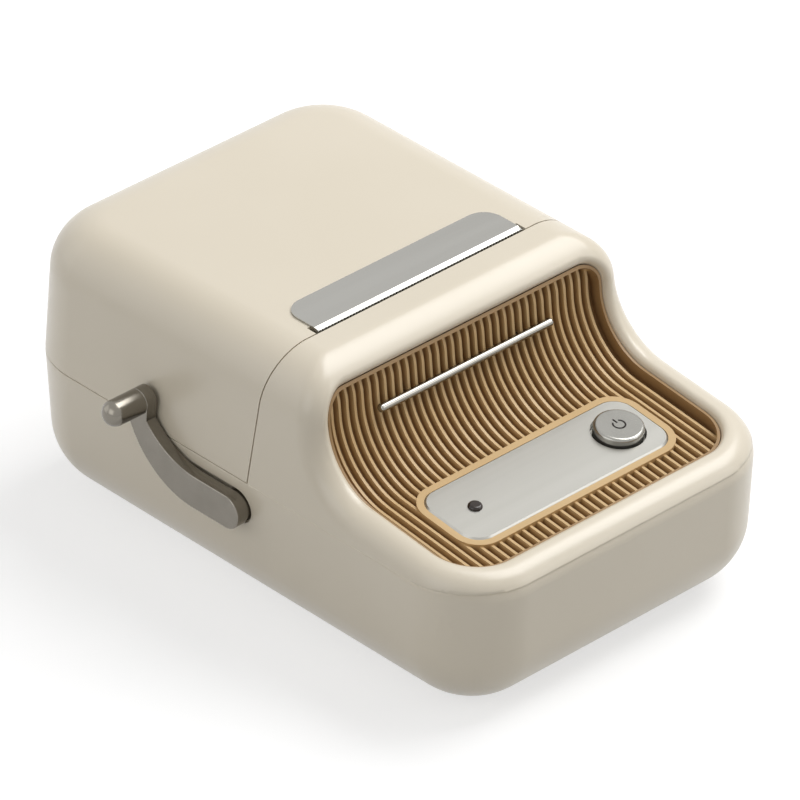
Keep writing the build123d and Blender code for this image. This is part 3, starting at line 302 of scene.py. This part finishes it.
def dark_lens():
    finish, tree, shader, place = finish_nodes("dark_lens")
    spread(tree, speckle(tree, place, 400), shader.inputs["Base Color"],
           (0.020, 0.012, 0.008), (0.030, 0.018, 0.012))
    shader.inputs["Roughness"].default_value = 0.08
    shader.inputs["Specular IOR Level"].default_value = 0.45
    return finish


lens_finish = dark_lens()
softened("indicator_lens", "base", lens_finish)

# Trim bar. A slim bar across the ribs, turned from steel and chromed, that stands off
# them on two short posts.


def bright_chrome():
    finish, tree, shader, place = finish_nodes("bright_chrome")
    spread(tree, speckle(tree, place, 200), shader.inputs["Base Color"],
           (0.300, 0.285, 0.255), (0.325, 0.310, 0.280))
    spread(tree, speckle(tree, place, 500), shader.inputs["Roughness"], 0.14, 0.20)
    shader.inputs["Metallic"].default_value = 1.0
    return finish


chrome = bright_chrome()
softened("trim_bar", "base", chrome)

# Tear bar. A folded plate of satin-plated steel let into the cover, with a row of teeth
# stamped along its front edge, over the label slot.


def satin_nickel(name, low, high, rough):
    finish, tree, shader, place = finish_nodes(name)
    spread(tree, speckle(tree, place, 260, 3, (0.05, 1, 1)), shader.inputs["Base Color"],
           low, high)
    spread(tree, speckle(tree, place, 400), shader.inputs["Roughness"], rough, rough + 0.03)
    shader.inputs["Metallic"].default_value = 0.95
    return finish


tear_metal = satin_nickel("tear_metal", (0.405, 0.398, 0.370), (0.425, 0.418, 0.390), 0.22)
tear_half, tear_rear, tear_fold, tear_front = 0.0271, 0.00325, -0.00610, -0.00735
tear_top, tear_seat, tear_drop, edge_thickness = 0.0604, 0.0590, 0.00042, 0.0003
tear_corner, corner_steps = 0.0045, 12
tooth_pitch, tooth_depth = 0.0008, 0.00034
on_front = tear_front + 0.00001
blade_mesh = bpy.data.meshes.new("tear_bar_mesh")
blade = bmesh.new()
bmesh.ops.create_cube(blade, size=1)
bmesh.ops.scale(blade, verts=blade.verts,
                vec=(2 * tear_half, tear_rear - tear_front, tear_top - tear_seat))
bmesh.ops.translate(blade, verts=blade.verts,
                    vec=(0, (tear_rear + tear_front) / 2, (tear_top + tear_seat) / 2))
rear_uprights = [line for line in blade.edges
                 if all(abs(end.co.y - tear_rear) < 0.00001 for end in line.verts)
                 and abs(line.verts[0].co.x - line.verts[1].co.x) < 0.00001]
bmesh.ops.bevel(blade, geom=rear_uprights, affect="EDGES", offset=tear_corner,
                segments=corner_steps, profile=0.5, material=-1)
bmesh.ops.bisect_plane(blade, geom=blade.verts[:] + blade.edges[:] + blade.faces[:],
                       dist=0.0000005, plane_co=(0, tear_fold, 0), plane_no=(0, 1, 0))
for corner in blade.verts:
    if corner.co.y < on_front:
        upper = corner.co.z > (tear_top + tear_seat) / 2
        corner.co.z = tear_top - tear_drop - (0 if upper else edge_thickness)
front_edges = [line for line in blade.edges
               if all(end.co.y < on_front for end in line.verts)
               and abs(line.verts[0].co.x - line.verts[1].co.x) > 0.001]
tooth_count = int(2 * tear_half / tooth_pitch)
bmesh.ops.subdivide_edges(blade, edges=front_edges, cuts=2 * tooth_count - 1)
for corner in blade.verts:
    step = (corner.co.x + tear_half) / (tear_half / tooth_count)
    if corner.co.y < on_front and round(step) % 2 == 1:
        corner.co.y += tooth_depth
bmesh.ops.recalc_face_normals(blade, faces=blade.faces)
blade.to_mesh(blade_mesh)
blade.free()
blade_mesh.materials.append(tear_metal)
tear_bar = bpy.data.objects.new("tear_bar_shown", blade_mesh)
bpy.context.scene.collection.objects.link(tear_bar)
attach(tear_bar, "lid")
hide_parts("tear_bar")

# Release lever. A cast arm on the left, pressed onto the latch shaft and turning with
# it, with a turned round knob at its end. Both are plated in a dark satin nickel.
nickel = satin_nickel("nickel_plate", (0.225, 0.208, 0.178), (0.245, 0.226, 0.195), 0.22)
for node in ("lever_arm", "lever_knob"):
    softened(node, "lever", nickel)

# Black mouldings of the inside: the bulkhead, the liner of the cover, the roll bay and
# the latch hooks, all with the fine grain of a spark-eroded tool.


def grained_black():
    finish, tree, shader, place = finish_nodes("grained_black")
    spread(tree, speckle(tree, place, 50), shader.inputs["Base Color"],
           (0.022, 0.022, 0.023), (0.032, 0.032, 0.033))
    spread(tree, speckle(tree, place, 300), shader.inputs["Roughness"], 0.48, 0.60)
    relief(tree, speckle(tree, place, 1800, 3), shader, 0.00003, 0.5)
    return finish


black = grained_black()
for node, body in (("bulkhead", "base"), ("lid_liner", "lid"), ("roll_bay", "base"),
                   ("latch_hooks", "lever")):
    softened(node, body, black)
for node in ("board_chips", "label_sensor", "button_switch"):
    softened(node, "base", black)

# Steel parts: shafts, pins, clips, springs, screws and the shells of the motor and of
# the charging socket, with the faint marks of turning.


def turned_steel():
    finish, tree, shader, place = finish_nodes("turned_steel")
    spread(tree, speckle(tree, place, 800, 2, (1, 0.1, 0.1)), shader.inputs["Base Color"],
           (0.42, 0.42, 0.42), (0.55, 0.55, 0.54))
    spread(tree, speckle(tree, place, 900), shader.inputs["Roughness"], 0.22, 0.34)
    shader.inputs["Metallic"].default_value = 1.0
    return finish


def coil(name, middle, axis, radius, wire, length, turns):
    """Spring wire of a radius wound round an axis, centred on a place."""
    steps_in_turn = 20
    wound = bmesh.new()
    ring = bmesh.ops.create_circle(wound, cap_ends=True, segments=8, radius=wire)["verts"]
    bmesh.ops.rotate(wound, verts=ring, cent=(0, 0, 0),
                     matrix=Matrix.Rotation(radians(90), 3, "X"))
    bmesh.ops.translate(wound, verts=ring, vec=(radius, 0, wire - length / 2))
    steps = turns * steps_in_turn
    rise = (length - 2 * wire) / steps
    bmesh.ops.spin(wound, geom=wound.verts[:] + wound.edges[:] + wound.faces[:], cent=(0, 0, 0),
                   axis=(0, 0, 1), dvec=(0, 0, rise), angle=radians(360) * turns, steps=steps,
                   use_merge=False)
    turned = Vector((0, 0, 1)).rotation_difference(Vector(axis)).to_matrix().to_4x4()
    bmesh.ops.transform(wound, matrix=Matrix.Translation(middle) @ turned, verts=wound.verts)
    bmesh.ops.recalc_face_normals(wound, faces=wound.faces)
    for face in wound.faces:
        face.smooth = len(face.verts) == 4
    mesh = bpy.data.meshes.new(name + "_mesh")
    wound.to_mesh(mesh)
    wound.free()
    mesh.materials.append(steel)
    spring = bpy.data.objects.new(name, mesh)
    bpy.context.scene.collection.objects.link(spring)
    return spring


steel = turned_steel()
lever_coil = coil("lever_spring_shown", (-0.0338, -0.0008, 0.024), (1, 0, 0), 0.0032, 0.00028,
                  0.0048, 7)
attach(lever_coil, "base")
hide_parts("lever_spring")
for side in (-1, 1):
    head_coil = coil("head_spring_left" if side < 0 else "head_spring_right",
                     (side * 0.0235, -0.01315, 0.048), (0, 1, 0), 0.00155, 0.00018, 0.0017, 3)
    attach(head_coil, "base")
    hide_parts("head_springs")
for node, body in (("latch_shaft", "lever"), ("head_shaft", "base"),
                   ("lid_screws", "lid"), ("lid_catches", "lid"),
                   ("platen_shaft", "platen"), ("platen_clip", "platen"),
                   ("gear_axle", "base"), ("axle_clip", "base"), ("motor_body", "base"),
                   ("motor_shaft", "rotor"), ("usb_socket", "base"), ("case_screws", "base"),
                   ("board_screws", "base"), ("hinge_pin", "base")):
    softened(node, body, steel)

# Print head. A glazed ceramic heater strip bonded to a milled aluminium block, which
# rocks on a shaft so that the strip presses on the roller.


def glazed_ceramic():
    finish, tree, shader, place = finish_nodes("glazed_ceramic")
    spread(tree, speckle(tree, place, 90), shader.inputs["Base Color"],
           (0.52, 0.50, 0.43), (0.58, 0.56, 0.49))
    shader.inputs["Roughness"].default_value = 0.15
    return finish


def milled_aluminium():
    finish, tree, shader, place = finish_nodes("milled_aluminium")
    spread(tree, speckle(tree, place, 700, 2, (0.04, 1, 1)), shader.inputs["Base Color"],
           (0.50, 0.50, 0.50), (0.60, 0.60, 0.60))
    spread(tree, speckle(tree, place, 500), shader.inputs["Roughness"], 0.30, 0.42)
    shader.inputs["Metallic"].default_value = 1.0
    return finish


ceramic = glazed_ceramic()
aluminium = milled_aluminium()
softened("print_head", "head", ceramic)
softened("heat_sink", "head", aluminium)

# Platen and feet. The roller is black rubber moulded on its shaft and ground round. The
# feet are moulded rubber, stuck into round seats under the base.


def ground_rubber(name, rough):
    finish, tree, shader, place = finish_nodes(name)
    spread(tree, speckle(tree, place, 200), shader.inputs["Base Color"],
           (0.020, 0.020, 0.020), (0.034, 0.034, 0.034))
    spread(tree, speckle(tree, place, 900), shader.inputs["Roughness"], rough, rough + 0.1)
    relief(tree, speckle(tree, place, 2400), shader, 0.00002, 0.4)
    return finish


roller_rubber = ground_rubber("roller_rubber", 0.62)
foot_rubber = ground_rubber("foot_rubber", 0.72)
softened("platen_rubber", "platen", roller_rubber)
softened("rubber_feet", "base", foot_rubber)

# Gears, bushes and roll guides. They are moulded in natural acetal, slightly waxy, and
# the motor's pinion is cut from brass and pressed onto its shaft.


def natural_acetal():
    finish, tree, shader, place = finish_nodes("natural_acetal")
    spread(tree, speckle(tree, place, 60), shader.inputs["Base Color"],
           (0.66, 0.64, 0.57), (0.72, 0.70, 0.63))
    spread(tree, speckle(tree, place, 200), shader.inputs["Roughness"], 0.32, 0.42)
    return finish


def machined_brass():
    finish, tree, shader, place = finish_nodes("machined_brass")
    spread(tree, speckle(tree, place, 900), shader.inputs["Base Color"],
           (0.55, 0.38, 0.14), (0.64, 0.46, 0.19))
    shader.inputs["Roughness"].default_value = 0.28
    shader.inputs["Metallic"].default_value = 1.0
    return finish


acetal = natural_acetal()
brass = machined_brass()
for node, body in (("platen_gear", "platen"), ("reduction_gear", "reduction"),
                   ("platen_bushes", "lid"), ("guide_left", "left_guide"),
                   ("guide_right", "right_guide"), ("guide_pinion", "pinion"),
                   ("indicator_led", "base")):
    softened(node, body, acetal)
softened("motor_pinion", "rotor", brass)

# Boards and cell. Glass-fibre boards under a green lacquer, screwed to posts, and a
# pouch cell in a blue film that lies between two ribs of the base.


def green_lacquer():
    finish, tree, shader, place = finish_nodes("green_lacquer")
    spread(tree, speckle(tree, place, 500), shader.inputs["Base Color"],
           (0.010, 0.100, 0.040), (0.018, 0.130, 0.052))
    shader.inputs["Roughness"].default_value = 0.30
    return finish


def cell_film():
    finish, tree, shader, place = finish_nodes("cell_film")
    spread(tree, speckle(tree, place, 80), shader.inputs["Base Color"],
           (0.030, 0.080, 0.230), (0.040, 0.100, 0.270))
    relief(tree, speckle(tree, place, 160), shader, 0.0002, 0.5)
    shader.inputs["Roughness"].default_value = 0.35
    return finish


green = green_lacquer()
film = cell_film()
for node in ("main_board", "panel_board", "charge_board"):
    softened(node, "base", green)
softened("battery_pack", "base", film)

# Floor and light. A white sweep under broad soft light from above and behind the left
# shoulder, as on a product table.


def seen_directly(tree):
    """One where the camera, a mirror or a glass sees the background, and zero elsewhere."""
    ray = tree.nodes.new("ShaderNodeLightPath")
    value = ray.outputs["Is Camera Ray"]
    for kind in ("Is Glossy Ray", "Is Transmission Ray"):
        more = tree.nodes.new("ShaderNodeMath")
        more.operation = "MAXIMUM"
        tree.links.new(value, more.inputs[0])
        tree.links.new(ray.outputs[kind], more.inputs[1])
        value = more.outputs["Value"]
    return value


def white_sweep():
    finish = bpy.data.materials.new("white_sweep")
    finish.use_nodes = True
    tree = finish.node_tree
    shader = tree.nodes["Principled BSDF"]
    shader.inputs["Base Color"].default_value = (0.50, 0.50, 0.50, 1)
    shader.inputs["Roughness"].default_value = 0.9
    shader.inputs["Specular IOR Level"].default_value = 0.0
    lift = tree.nodes.new("ShaderNodeMath")
    lift.operation = "MULTIPLY"
    lift.inputs[1].default_value = 0.62
    tree.links.new(seen_directly(tree), lift.inputs[0])
    shader.inputs["Emission Color"].default_value = (1, 1, 1, 1)
    tree.links.new(lift.outputs["Value"], shader.inputs["Emission Strength"])
    return finish


sweep_mesh = bpy.data.meshes.new("floor_mesh")
sweep_shape = bmesh.new()
bmesh.ops.create_grid(sweep_shape, x_segments=1, y_segments=1, size=6)
bmesh.ops.translate(sweep_shape, verts=sweep_shape.verts, vec=(0, 0, cad_box[0][2]))
sweep_shape.to_mesh(sweep_mesh)
sweep_shape.free()
sweep_mesh.materials.append(white_sweep())
floor = bpy.data.objects.new("floor", sweep_mesh)
bpy.context.scene.collection.objects.link(floor)

world = bpy.data.worlds.new("studio")
bpy.context.scene.world = world
world.use_nodes = True
tree = world.node_tree
air = tree.nodes["Background"]
air.inputs["Color"].default_value = (1, 1, 1, 1)
bright = tree.nodes.new("ShaderNodeMath")
bright.operation = "MAXIMUM"
bright.inputs[1].default_value = 0.27
tree.links.new(seen_directly(tree), bright.inputs[0])
tree.links.new(bright.outputs["Value"], air.inputs["Strength"])


def softbox(name, place, size, power, aim=(0, 0, 0.03)):
    """A square area lamp at a place, turned to the object."""
    lamp = bpy.data.lights.new(name, "AREA")
    lamp.size = size
    lamp.energy = power
    rig = bpy.data.objects.new(name, lamp)
    rig.location = place
    rig.rotation_euler = (Vector(aim) - Vector(place)).to_track_quat("-Z", "Y").to_euler()
    bpy.context.scene.collection.objects.link(rig)


softbox("key", (0.58, -0.12, 0.95), 0.75, 9.5)
softbox("fill", (0.85, -1.05, 0.68), 0.6, 2.0)
softbox("rim", (-0.9, 1.2, 0.6), 1.2, 3.0)
softbox("left", (-1.2, -0.1, 0.7), 0.9, 3.0)

# Camera. A long lens well back, at the photograph's angle, looking down on the front
# left corner, with the middle of the picture on the object.
camera_place = (-0.953916, -1.016270, 0.933988)
turn = radians(-43.223)
rise = radians(32.999)
forward = Vector((-sin(turn) * cos(rise), cos(turn) * cos(rise), -sin(rise)))
right = Vector((cos(turn), sin(turn), 0))
upward = right.cross(forward)
lens = bpy.data.cameras.new("camera")
lens.lens = 381.23
lens.sensor_width = 36
lens.clip_end = 20
camera = bpy.data.objects.new("camera", lens)
facing = Matrix((right, upward, -forward)).transposed().to_4x4()
camera.matrix_world = Matrix.Translation(camera_place) @ facing
bpy.context.scene.collection.objects.link(camera)
bpy.context.scene.camera = camera
bpy.context.scene.view_settings.view_transform = "Standard"
